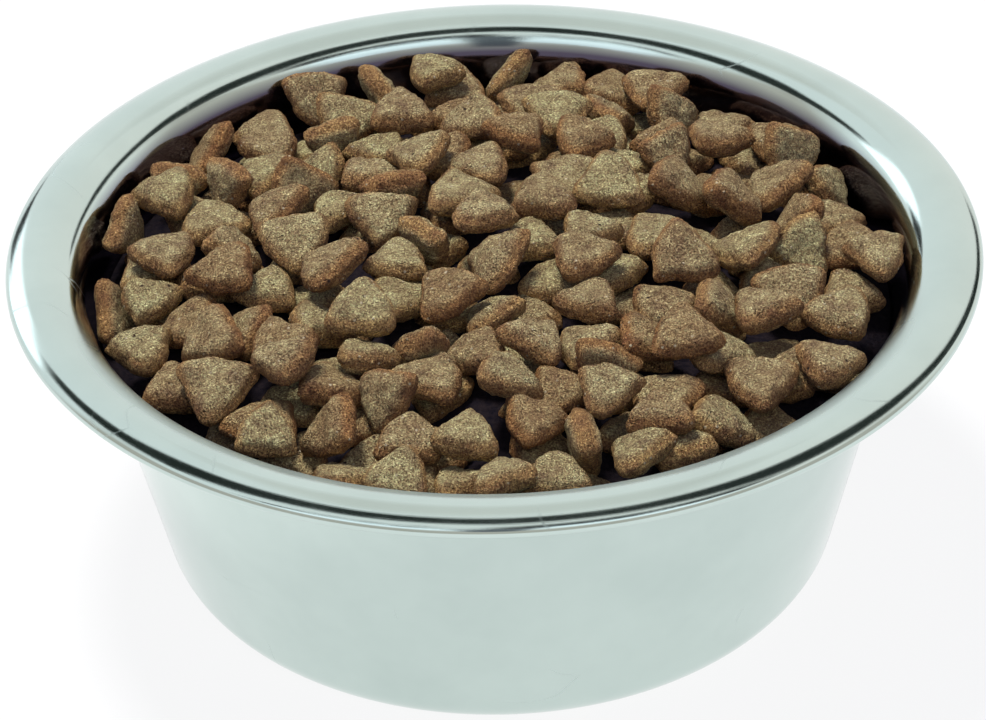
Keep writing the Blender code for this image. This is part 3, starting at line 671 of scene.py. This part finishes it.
# What the steel mirrors from above. Each card's line is (x, y, half width) at points of its middle.
CARDS = (
    {
        "name": "card_arch",
        "line": (
            (-0.67, 0.60, 0.05), (-0.61, 0.48, 0.055), (-0.55, 0.35, 0.065), (-0.47, 0.23, 0.07),
            (-0.38, 0.145, 0.098), (-0.29, 0.085, 0.082), (-0.145, 0.015, 0.06), (0.0, -0.008, 0.06),
            (0.145, 0.005, 0.06), (0.30, 0.06, 0.084), (0.38, 0.12, 0.100), (0.47, 0.215, 0.086),
            (0.58, 0.33, 0.062), (0.70, 0.47, 0.062), (0.87, 0.74, 0.075), (1.07, 1.07, 0.095),
            (1.30, 1.65, 0.11), (1.60, 2.50, 0.13), (1.9, 3.2, 0.13),
        ),
        "strength": 0.03, "colour": (0.9, 1.1, 1.0), "soft": 0.022,
    },
    {
        "name": "card_arch_end",
        "line": (
            (-0.95, 1.35, 0.10), (-1.05, 1.60, 0.13), (-1.55, 2.70, 0.22), (-2.3, 4.3, 0.4),
            (-2.5, 4.8, 0.4),
        ),
        "strength": 0.03, "soft": 0.06,
    },
    {
        "name": "card_window",
        "line": (
            (-0.60, 0.60, 0.10), (-0.66, 0.70, 0.16), (-0.85, 1.02, 0.20), (-1.15, 1.62, 0.20),
            (-1.25, 1.85, 0.1),
        ),
        "strength": 2.2, "colour": (0.93, 0.98, 1.05), "soft": 0.10,
    },
    {
        "name": "card_second",
        "line": (
            (-0.06, -0.175, 0.02), (0.02, -0.185, 0.035), (0.20, -0.165, 0.045), (0.34, -0.10, 0.04),
            (0.46, 0.0, 0.02),
        ),
        "strength": 0.03,
    },
    {
        "name": "card_mottled",
        "line": (
            (-0.44, -0.10, 0.03), (-0.36, -0.14, 0.035), (-0.16, -0.175, 0.035), (-0.02, -0.18, 0.03),
        ),
        "strength": 0.05, "mottle": 22.0,
    },
    {
        "name": "card_grey",
        "line": ((0.0, 0.10, 0.10), (0.0, 0.20, 0.12), (0.0, 0.42, 0.14), (0.0, 0.66, 0.10)),
        "strength": 0.82, "colour": (1.0, 0.985, 0.955), "soft": 0.07,
    },
    {
        "name": "card_camera",
        "line": ((-0.01, -0.18, 0.05), (-0.015, -0.22, 0.055), (-0.02, -0.60, 0.06), (-0.02, -0.80, 0.06)),
        "strength": 0.16, "colour": (0.9, 0.95, 1.1), "soft": 0.03,
    },
    {
        "name": "card_blue",
        "line": ((-0.50, -0.26, 0.08), (-0.36, -0.28, 0.10), (-0.10, -0.30, 0.10), (-0.06, -0.30, 0.10)),
        "strength": 1.3, "colour": (0.92, 0.99, 1.07), "soft": 0.04,
    },
    {
        "name": "card_blue_right",
        "line": ((0.04, -0.30, 0.10), (0.08, -0.30, 0.10), (0.36, -0.28, 0.10), (0.50, -0.26, 0.08)),
        "strength": 1.3, "colour": (0.92, 0.99, 1.07), "soft": 0.04,
    },
)


class LatticeNoise:
    """Smooth noise between -1 and 1, from random values at the points of a lattice."""

    COUNT = 4096
    PRIMES = (73856093, 19349663, 83492791)

    def __init__(self, seed):
        self.values = np.random.default_rng(seed).uniform(-1, 1, self.COUNT)

    def __call__(self, points, size):
        cell = points / size
        base = np.floor(cell).astype(np.int64)
        share = cell - base
        share = share * share * (3 - 2 * share)
        total = np.zeros(len(points))
        for corner in range(8):
            step = np.array([corner & 1, corner >> 1 & 1, corner >> 2 & 1])
            mixed = (base + step) * self.PRIMES
            key = mixed[:, 0] ^ mixed[:, 1] ^ mixed[:, 2]
            weight = np.where(step, share, 1 - share).prod(axis=1)
            total += weight * self.values[key & (self.COUNT - 1)]
        return total


NOISE = LatticeNoise(NOISE_SEED)


def fine_kibble(shape, number):
    """Points of one detailed kibble about its middle."""
    width_share, thick_share, crisp, stretch = shape
    rng = np.random.default_rng(SHAPE_SEED + number)
    side = KIBBLE_WIDTH * width_share / (1 + kibble_outline(math.pi, crisp, 1.0))
    half_thick = FLATTER * KIBBLE_THICKNESS * thick_share / 2
    angles = np.linspace(0, math.tau, FINE_SIDES, endpoint=False)
    swung = angles + SWING * np.sin(2 * angles + rng.uniform(0, math.tau))
    even = np.array([kibble_outline(angle, crisp * CRISPER, 1.0) for angle in swung])
    drawn = np.array([kibble_outline(angle, crisp * CRISPER, stretch) for angle in swung])
    outline = POINTED_SHARE * drawn * even ** (POINTED - 1)
    reach, rise = np.array(SIDE_VIEW).T
    reach = np.concatenate([reach, reach[::-1]])
    height = np.concatenate([rise, -rise[::-1]])
    dish = rng.uniform(*DISH) * np.exp(-((reach / DISH_REACH) ** 2)) * (height > 0)
    grid_reach = reach[:, None] * outline[None, :] * side
    grid_height = np.repeat((height - dish)[:, None], FINE_SIDES, axis=1) * half_thick
    grid = [grid_reach * np.cos(angles), grid_reach * np.sin(angles), grid_height]
    poles = np.array([[0, 0, half_thick * (1 - dish[0])], [0, 0, -half_thick]])
    points = np.vstack([np.stack(grid, axis=2).reshape(-1, 3), poles])
    outward = points / np.array([side**2, side**2, half_thick**2])
    outward /= np.linalg.norm(outward, axis=1)[:, None]
    place = points + rng.uniform(-1, 1, 3)
    for size, depth in LUMPS:
        points = points + outward * (depth * (NOISE(place, size) - LUMP_SINK))[:, None]
    return points


def fine_faces():
    """Faces of every detailed kibble, as numbers of its points, with -1 for a triangle's fourth."""
    rings = 2 * len(SIDE_VIEW)
    top = rings * FINE_SIDES
    last = top - FINE_SIDES
    faces = []
    for ring in range(rings - 1):
        for i in range(FINE_SIDES):
            j = (i + 1) % FINE_SIDES
            here = ring * FINE_SIDES
            below = here + FINE_SIDES
            faces.append((here + i, below + i, below + j, here + j))
    for i in range(FINE_SIDES):
        j = (i + 1) % FINE_SIDES
        faces.append((top, i, j, -1))
        faces.append((top + 1, last + j, last + i, -1))
    return np.array(faces)


FACES = fine_faces()


def keep_inside(points):
    """Draws points that reach into the bowl's wall or roll back to its inner face."""
    crown_r, crown_z = crown_place()
    roll_z = crown_z + RIM_ROLL_RADIUS * math.sin(WALL_TAPER)
    base_r = wall_inner_radius(0.0)
    for point in points:
        rise = point[2] - crown_z
        reach = math.hypot(point[0], point[1])
        if reach < base_r or rise >= RIM_ROLL_RADIUS:
            continue
        if point[2] < roll_z:
            most = wall_inner_radius(point[2]) - CAD_MARGIN
        else:
            most = crown_r - math.sqrt(RIM_ROLL_RADIUS**2 - rise**2) - CAD_MARGIN
        if reach > most:
            point[:2] *= most / reach


def kibble_piece(name, kibbles, first_number, share=1.0):
    """One piece of detailed kibbles, each given as (hull number, rotation, middle)."""
    reach, _ = np.array(SIDE_VIEW).T
    edge = np.clip((np.concatenate([reach, reach[::-1]]) - EDGE_START) / EDGE_FADE, 0, 1)
    edge = np.concatenate([np.repeat(edge, FINE_SIDES), [0.0, 0.0]])
    points, faces, tints = [], [], []
    for count, (shape_number, turned, middle) in enumerate(kibbles):
        number = first_number + count
        local = share * fine_kibble(SHAPES[shape_number], number)
        world = local @ turned.T + middle
        excess = world[:, 2].max() - (CAD_BOX[1].z - CAD_MARGIN)
        world[:, 2] -= max(excess, 0.0)
        keep_inside(world)
        points.append(world)
        faces.append(np.where(FACES < 0, -1, FACES + count * len(local)))
        rng = np.random.default_rng(TINT_SEED + number)
        tints.append(np.full(len(local), rng.uniform(0, 1)))
    mesh = bpy.data.meshes.new(name)
    mesh.from_pydata(np.vstack(points).tolist(), [], [tuple(face[face >= 0]) for face in np.vstack(faces)])
    for attribute, values in (("tint", np.concatenate(tints)), ("edge", np.tile(edge, len(kibbles)))):
        made = mesh.attributes.new(attribute, "FLOAT", "POINT")
        made.data.foreach_set("value", values.astype(np.float32))
    mesh.shade_smooth()
    made = new_object(name, mesh)
    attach(made, "root")
    return made


class Nodes:
    """Adds nodes to one tree and links them. A value is an output, a colour or a number."""

    def __init__(self, tree):
        self.tree = tree

    def put(self, socket, value):
        if isinstance(value, bpy.types.NodeSocket):
            self.tree.links.new(value, socket)
        elif isinstance(value, tuple):
            socket.default_value = (*value, 1.0)
        else:
            socket.default_value = value

    def fill(self, node, **inputs):
        """Gives a node's inputs their values, with _ for each space in an input's name."""
        for name, value in inputs.items():
            self.put(node.inputs[name.replace("_", " ")], value)
        return node

    def add(self, kind, **inputs):
        return self.fill(self.tree.nodes.new(kind), **inputs)

    def place(self, kind="Object"):
        return self.add("ShaderNodeTexCoord").outputs[kind]

    def attribute(self, name):
        made = self.add("ShaderNodeAttribute")
        made.attribute_name = name
        return made.outputs["Fac"]

    def split(self, vector):
        return self.add("ShaderNodeSeparateXYZ", Vector=vector).outputs

    def noise(self, place, scale, detail, roughness=0.55):
        made = self.add("ShaderNodeTexNoise", Vector=place, Scale=scale, Detail=detail, Roughness=roughness)
        return made.outputs["Fac"]

    def ramp(self, factor, *stops):
        made = self.add("ShaderNodeValToRGB", Fac=factor)
        elements = made.color_ramp.elements
        while len(elements) < len(stops):
            elements.new(0.5)
        for element, (position, colour) in zip(elements, stops):
            element.position = position
            element.color = (*colour, 1.0) if isinstance(colour, tuple) else (colour,) * 3 + (1.0,)
        return made.outputs["Color"]

    def mix(self, blend, factor, first, second):
        made = self.tree.nodes.new("ShaderNodeMix")
        made.data_type = "RGBA"
        made.blend_type = blend
        sockets = [socket for socket in made.inputs if socket.enabled]
        for socket, value in zip(sockets, (factor, first, second)):
            self.put(socket, value)
        return [socket for socket in made.outputs if socket.enabled][0]

    def math(self, operation, *values):
        made = self.tree.nodes.new("ShaderNodeMath")
        made.operation = operation
        for socket, value in zip(made.inputs, values):
            self.put(socket, value)
        return made.outputs[0]

    def product(self, first, *others):
        for other in others:
            first = self.math("MULTIPLY", first, other)
        return first

    def span(self, value, start, end):
        """0 at start and before it, 1 at end and past it."""
        return self.add("ShaderNodeMapRange", Value=value, From_Min=start, From_Max=end).outputs["Result"]

    def bump(self, height, distance, **normal):
        made = self.add("ShaderNodeBump", Strength=1.0, Distance=distance, Height=height, **normal)
        return made.outputs["Normal"]

    def spots(self, place, scale, near, few):
        """1 in the middle of a few cells and 0 elsewhere. Near and few are each from where to where."""
        cells = self.add("ShaderNodeTexVoronoi", Vector=place, Scale=scale).outputs
        middle = self.ramp(cells["Distance"], (near[0], 1.0), (near[1], 0.0))
        chosen = self.ramp(cells["Color"], (few[0], 0.0), (few[1], 1.0))
        return self.mix("MULTIPLY", 1.0, middle, chosen)

    def seen(self):
        """1 for rays from the camera and for mirrored and passed ones, else 0."""
        path = self.add("ShaderNodeLightPath").outputs
        both = self.math("MAXIMUM", path["Is Camera Ray"], path["Is Glossy Ray"])
        return self.math("MAXIMUM", both, path["Is Transmission Ray"])

    def join_shaders(self, share, first, second):
        """Makes the material's surface of two shaders, of which the second has this share."""
        mixed = self.add("ShaderNodeMixShader")
        for socket, value in zip(mixed.inputs, (share, first.outputs[0], second.outputs[0])):
            self.put(socket, value)
        self.fill(self.tree.nodes["Material Output"], Surface=mixed.outputs[0])


def new_material(name):
    """A new material, the helper for its nodes, and its shader."""
    material = bpy.data.materials.new(name)
    material.use_nodes = True
    return material, Nodes(material.node_tree), material.node_tree.nodes["Principled BSDF"]


def kibble_material():
    """Baked, extruded kibble: a mealy brown surface with pale crumbs, dark flecks and small pits."""
    material, nodes, shader = new_material("baked_kibble")
    place = nodes.place()
    patches = nodes.noise(place, 260, 5, 0.78)
    faces = nodes.ramp(patches, *FACE_COLOURS)
    edges = nodes.ramp(patches, *EDGE_COLOURS)
    base = nodes.mix("MIX", nodes.attribute("edge"), faces, edges)
    base = nodes.mix("MULTIPLY", 1.0, base, nodes.ramp(nodes.attribute("tint"), *KIBBLE_TINTS))
    grain = nodes.noise(place, 2900, 2, 0.7)
    base = nodes.mix("MULTIPLY", 0.9, base, nodes.ramp(grain, *MEAL_COLOURS))
    crumbs = nodes.spots(place, 950, (0.16, 0.30), (0.80, 0.84))
    base = nodes.mix("MIX", crumbs, base, CRUMB_COLOUR)
    flecks = nodes.spots(place, 620, (0.14, 0.26), (0.86, 0.9))
    base = nodes.mix("MIX", flecks, base, FLECK_COLOUR)
    normal = nodes.bump(nodes.noise(place, 560, 4, 0.72), 0.0046)
    normal = nodes.bump(grain, 0.0009, Normal=normal)
    normal = nodes.bump(crumbs, 0.00012, Normal=normal)
    nodes.fill(shader, Base_Color=base, Roughness=0.78, Specular_IOR_Level=0.32, Normal=normal)
    return material


def core_material():
    """Crumb at the bottom of the gaps between kibbles, coloured near-black as painted shade for the shadow
    deep in the gaps.
    """
    material, nodes, shader = new_material("kibble_crumb_and_painted_shade")
    grain = nodes.noise(nodes.place(), 900, 6, 0.7)
    base = nodes.ramp(grain, *GAP_CRUMB_AND_SHADE)
    normal = nodes.bump(grain, 0.0012)
    nodes.fill(shader, Base_Color=base, Roughness=0.95, Specular_IOR_Level=0.1, Normal=normal)
    return material


def turned_lines(nodes, radius, angle, height):
    """Fine lines round the bowl's axis, left by its turning and polishing."""
    rings = nodes.add(
        "ShaderNodeCombineXYZ",
        X=nodes.product(radius, TURNED_LINES),
        Y=nodes.product(height, TURNED_LINES),
        Z=nodes.product(angle, 3.0),
    )
    return nodes.noise(rings.outputs[0], 1.0, 3, 0.6)


def scratches(nodes, place):
    """A few thin scratches, each a stretch of a cell's edge."""
    wander = nodes.add("ShaderNodeTexNoise", Vector=place, Scale=30).outputs["Color"]
    cracks = nodes.add("ShaderNodeTexVoronoi", Vector=nodes.mix("MIX", 0.04, place, wander), Scale=26)
    cracks.feature = "DISTANCE_TO_EDGE"
    line = nodes.ramp(cracks.outputs["Distance"], (0.002, 1.0), (0.007, 0.0))
    here = nodes.ramp(nodes.noise(place, 60, 2), (0.56, 0.0), (0.62, 1.0))
    return nodes.mix("MULTIPLY", 1.0, line, here)


def steel_material():
    """Satin-polished stainless steel with faint turned lines, soft marks and a few fine scratches, and
    painted shade with a painted dark reflection on its inside below the rim.
    """
    material, nodes, shader = new_material("satin_steel")
    place = nodes.place()
    x, y, z = nodes.split(place)
    facing = nodes.split(nodes.place("Normal"))
    radius = nodes.math("SQRT", nodes.math("ADD", nodes.product(x, x), nodes.product(y, y)))
    lines = turned_lines(nodes, radius, nodes.math("ARCTAN2", y, x), z)
    cloud = nodes.noise(place, 38, 4, 0.6)
    outward = nodes.math("ADD", nodes.product(x, facing[0]), nodes.product(y, facing[1]))
    # Painted shade: inside faces below the rim are turned near-black navy, a colour that stands for the
    # shade there and the dark kibbles they mirror
    painted_shade = nodes.product(nodes.span(outward, *PAINTED_SHADE_FACING), nodes.span(z, *PAINTED_SHADE_HEIGHT))
    tone = nodes.mix("MIX", painted_shade, nodes.ramp(cloud, *STEEL_COLOURS), PAINTED_SHADE_STEEL)
    worn = nodes.product(
        nodes.span(radius, *WORN_RADIUS), nodes.span(y, *WORN_FRONT), nodes.span(z, *WORN_HEIGHT)
    )
    rough = nodes.ramp(cloud, (0.3, 0.05), (0.7, 0.11))
    rough = nodes.mix("MIX", scratches(nodes, place), rough, (0.30, 0.30, 0.30))
    rough = nodes.mix("MIX", worn, rough, (0.42, 0.42, 0.42))
    rough = nodes.mix("ADD", 0.04, rough, lines)
    normal = nodes.bump(lines, 0.000004)
    normal = nodes.bump(nodes.noise(place, 22, 2, 0.5), 0.00012, Normal=normal)
    nodes.fill(shader, Metallic=1.0, Base_Color=tone, Roughness=rough, Anisotropic=0.3, Normal=normal)
    return material


def fine_bowl(material):
    """The bowl's sheet cut finely, on the same profile as its solid."""
    crown_r, crown_z = crown_place()
    hem_reach = RIM_ROLL_RADIUS - HEM_RADIUS
    hem_r = crown_r + hem_reach * math.sin(RIM_ROLL_END)
    hem_z = crown_z + hem_reach * math.cos(RIM_ROLL_END)
    hem_end = RIM_ROLL_END + HEM_TURN
    roll_start = -(math.pi / 2 - WALL_TAPER)
    inner_face = [(0.0, SHEET), (BASE_RING, SHEET)]
    inner_face += corner_arc(0.0, FINE_CORNER_FACETS)
    inner_face += arc(crown_r, crown_z, RIM_ROLL_RADIUS, roll_start, RIM_ROLL_END, FINE_ROLL_FACETS)
    inner_face += arc(hem_r, hem_z, HEM_RADIUS, RIM_ROLL_END, hem_end, FINE_HEM_FACETS)[1:]
    inner_face = [(r * BOWL_SHRINK, z) for r, z in inner_face]
    bowl = turned_mesh("bowl_shell", inner_face, BOWL_TURN_STEPS, SHEET)
    bowl.data.materials.append(material)
    bowl.modifiers["turn"].use_smooth_shade = True
    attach(bowl, "root")
    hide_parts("bowl")


def numbered(laid, hulls):
    """The laid kibbles with each hull given by its place in the list of shapes."""
    numbers = {id(hull): number for number, hull in enumerate(hulls)}
    return [(numbers[id(hull)], turned, middle) for hull, turned, middle in laid]


def lay_heap():
    """The kibbles as (hull number, rotation, middle): those of the one solid, and the free ones."""
    coarse = [kibble_hull(shape, (0, 60)) for shape in SHAPES]
    finer = [kibble_hull(shape, (0, 48, 72)) for shape in SHAPES]
    rng = np.random.default_rng(SEED)
    heap = Heap()
    heap.set_floor(sunk_floor)
    buried = lay_fillers(heap, coarse, rng, BED_KIBBLES, FUSED_OVER_DOME)
    buried += lay_buried(heap, coarse, rng)
    heap.set_floor(clear_floor)
    loose = lay_loose(heap, finer, rng)
    heap.set_floor(sunk_floor)
    buried += lay_fillers(heap, coarse, rng, MOST_FILLERS, FUSED_OVER_DOME)
    return numbered(buried, coarse), numbered(loose, finer)


def make_filling(material, crumb_and_shade):
    """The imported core, the kibbles of the heap's one solid in a few pieces, and each free kibble."""
    buried, loose = lay_heap()
    core = turned_mesh("heap_core", core_profile(), FINE_CORE_STEPS)
    # The core's material is crumb coloured near-black as painted shade for the gaps
    core.data.materials.append(crumb_and_shade)
    core.modifiers["turn"].use_smooth_shade = True
    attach(core, "root")
    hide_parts("kibble_heap")
    for start in range(0, len(buried), KIBBLES_PER_PIECE):
        layer = buried[start : start + KIBBLES_PER_PIECE]
        piece = kibble_piece(f"heap_layer_{start // KIBBLES_PER_PIECE + 1}", layer, start, FUSED_SHARE)
        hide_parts("kibble_heap")
        piece.data.materials.append(material)
    for number, kibble in enumerate(loose, 1):
        piece = kibble_piece(f"top_kibble_{number:02d}", [kibble], FIRST_LOOSE_NUMBER + number)
        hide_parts(f"kibble_{number:02d}")
        piece.data.materials.append(material)


def make_camera():
    """The photograph's viewpoint: a long lens from the front, about 33 degrees above the rim."""
    rim = Vector((0.0, 0.0, crown_place()[1]))
    place = rim + VIEW_DISTANCE * Vector((0.0, -math.cos(VIEW_RISE), math.sin(VIEW_RISE)))
    ahead = Vector((0.0, math.cos(VIEW_RISE), -math.sin(VIEW_RISE)))
    up = Vector((0.0, math.sin(VIEW_RISE), math.cos(VIEW_RISE)))
    right = Vector((1.0, 0.0, 0.0))
    turned = ahead * math.cos(VIEW_YAW) + right * math.sin(VIEW_YAW)
    level = right * math.cos(VIEW_YAW) - ahead * math.sin(VIEW_YAW)
    look = turned * math.cos(VIEW_PITCH) + up * math.sin(VIEW_PITCH)
    upright = up * math.cos(VIEW_PITCH) - turned * math.sin(VIEW_PITCH)
    side = level * math.cos(VIEW_ROLL) + upright * math.sin(VIEW_ROLL)
    over = upright * math.cos(VIEW_ROLL) - level * math.sin(VIEW_ROLL)
    camera = new_object("camera", bpy.data.cameras.new("camera"))
    camera.data.sensor_width = SENSOR_WIDTH
    camera.data.sensor_fit = "HORIZONTAL"
    camera.data.lens = FOCAL_PIXELS * SENSOR_WIDTH / PHOTO_WIDTH
    camera.data.clip_start = 0.01
    camera.data.clip_end = 50.0
    camera.matrix_world = Matrix((
        (side.x, over.x, -look.x, place.x),
        (side.y, over.y, -look.y, place.y),
        (side.z, over.z, -look.z, place.z),
        (0.0, 0.0, 0.0, 1.0),
    ))
    bpy.context.scene.camera = camera


def make_world():
    """White where it is seen, dim bluish light on rough things, and a low grey front for the steel."""
    world = bpy.data.worlds.new("studio")
    world.use_nodes = True
    nodes = Nodes(world.node_tree)
    glossy = nodes.add("ShaderNodeLightPath").outputs["Is Glossy Ray"]
    x, y, z = nodes.split(nodes.place("Generated"))
    low_front = nodes.product(nodes.span(y, 0.40, 0.15), nodes.span(z, 0.76, 0.66), glossy)
    sides = nodes.mix("MIX", nodes.span(x, -0.5, 0.5), LEFT_WHITE, RIGHT_WHITE)
    around = nodes.mix("MIX", glossy, WHITE, sides)
    around = nodes.mix("MIX", low_front, around, LOW_GREY)
    tone = nodes.mix("MIX", nodes.seen(), DIM_LIGHT, around)
    nodes.fill(world.node_tree.nodes["Background"], Color=tone, Strength=1.0)
    bpy.context.scene.world = world


def make_floor():
    """A pale floor that looks white and keeps the bowl's shadow."""
    mesh = bpy.data.meshes.new("floor")
    corners = [(x * FLOOR_REACH, y * FLOOR_REACH, 0) for x, y in ((-1, -1), (1, -1), (1, 1), (-1, 1))]
    mesh.from_pydata(corners, [], [(0, 1, 2, 3)])
    floor = new_object("floor", mesh)
    material, nodes, shader = new_material("white_floor")
    nodes.fill(shader, Base_Color=FLOOR_COLOUR, Roughness=0.9, Specular_IOR_Level=0.0)
    glow = nodes.add("ShaderNodeEmission", Color=WHITE)
    nodes.join_shaders(nodes.product(nodes.seen(), FLOOR_GLOW), shader, glow)
    mesh.materials.append(material)


def card_mesh(name, line, soft):
    """A level strip along a line, with an attribute that fades out at its edges and ends."""
    points, fades = [], []
    for i, (x, y, half_width) in enumerate(line):
        before, after = line[max(i - 1, 0)], line[min(i + 1, len(line) - 1)]
        along = Vector((after[0] - before[0], after[1] - before[1])).normalized()
        at_end = i in (0, len(line) - 1)
        outer = half_width + soft
        for across, share in ((-outer, 0.0), (-half_width, 1.0), (half_width, 1.0), (outer, 0.0)):
            points.append((x - across * along.y, y + across * along.x, CARD_HEIGHT))
            fades.append(0.0 if at_end else share)
    faces = []
    for i in range(len(line) - 1):
        for corner in range(4 * i, 4 * i + 3):
            faces.append((corner, corner + 1, corner + 5, corner + 4))
    mesh = bpy.data.meshes.new(name)
    mesh.from_pydata(points, [], faces)
    mesh.attributes.new("fade", "FLOAT", "POINT").data.foreach_set("value", fades)
    return mesh


def make_card(name, line, strength, colour=WHITE, soft=0.02, mottle=0.0):
    """A studio card above the bowl that only the steel mirrors, with soft edges."""
    material, nodes, shader = new_material(name)
    material.node_tree.nodes.remove(shader)
    cover = nodes.attribute("fade")
    if mottle:
        blots = nodes.noise(nodes.place(), mottle, 3, 0.7)
        cover = nodes.product(cover, nodes.ramp(blots, (0.44, 0.15), (0.54, 1.0)))
    clear = nodes.add("ShaderNodeBsdfTransparent")
    glow = nodes.add("ShaderNodeEmission", Strength=strength, Color=colour)
    nodes.join_shaders(cover, clear, glow)
    card = new_object(name, card_mesh(name, line, soft))
    card.data.materials.append(material)
    card.visible_camera = False
    card.visible_diffuse = False
    card.visible_shadow = False


def make_lamp(name, place, aim, size, power, colour):
    data = bpy.data.lights.new(name, "AREA")
    data.shape = "DISK"
    data.size = size
    data.energy = power
    data.color = colour
    lamp = new_object(name, data)
    lamp.location = place
    lamp.rotation_mode = "QUATERNION"
    lamp.rotation_quaternion = (Vector(aim) - Vector(place)).to_track_quat("-Z", "Y")
    lamp.visible_glossy = False


def main():
    bpy.context.scene.view_settings.view_transform = "Standard"
    make_camera()
    make_world()
    make_floor()
    for card in CARDS:
        make_card(**card)
    make_lamp("key", (-0.30, 0.35, 1.5), (0, 0, 0.06), 0.40, 30.0, (1.0, 0.985, 0.95))
    make_lamp("fill", (0.3, -1.3, 1.1), (0, 0, 0.05), 0.9, 6.0, (0.97, 0.99, 1.0))
    fine_bowl(steel_material())
    make_filling(kibble_material(), core_material())


main()
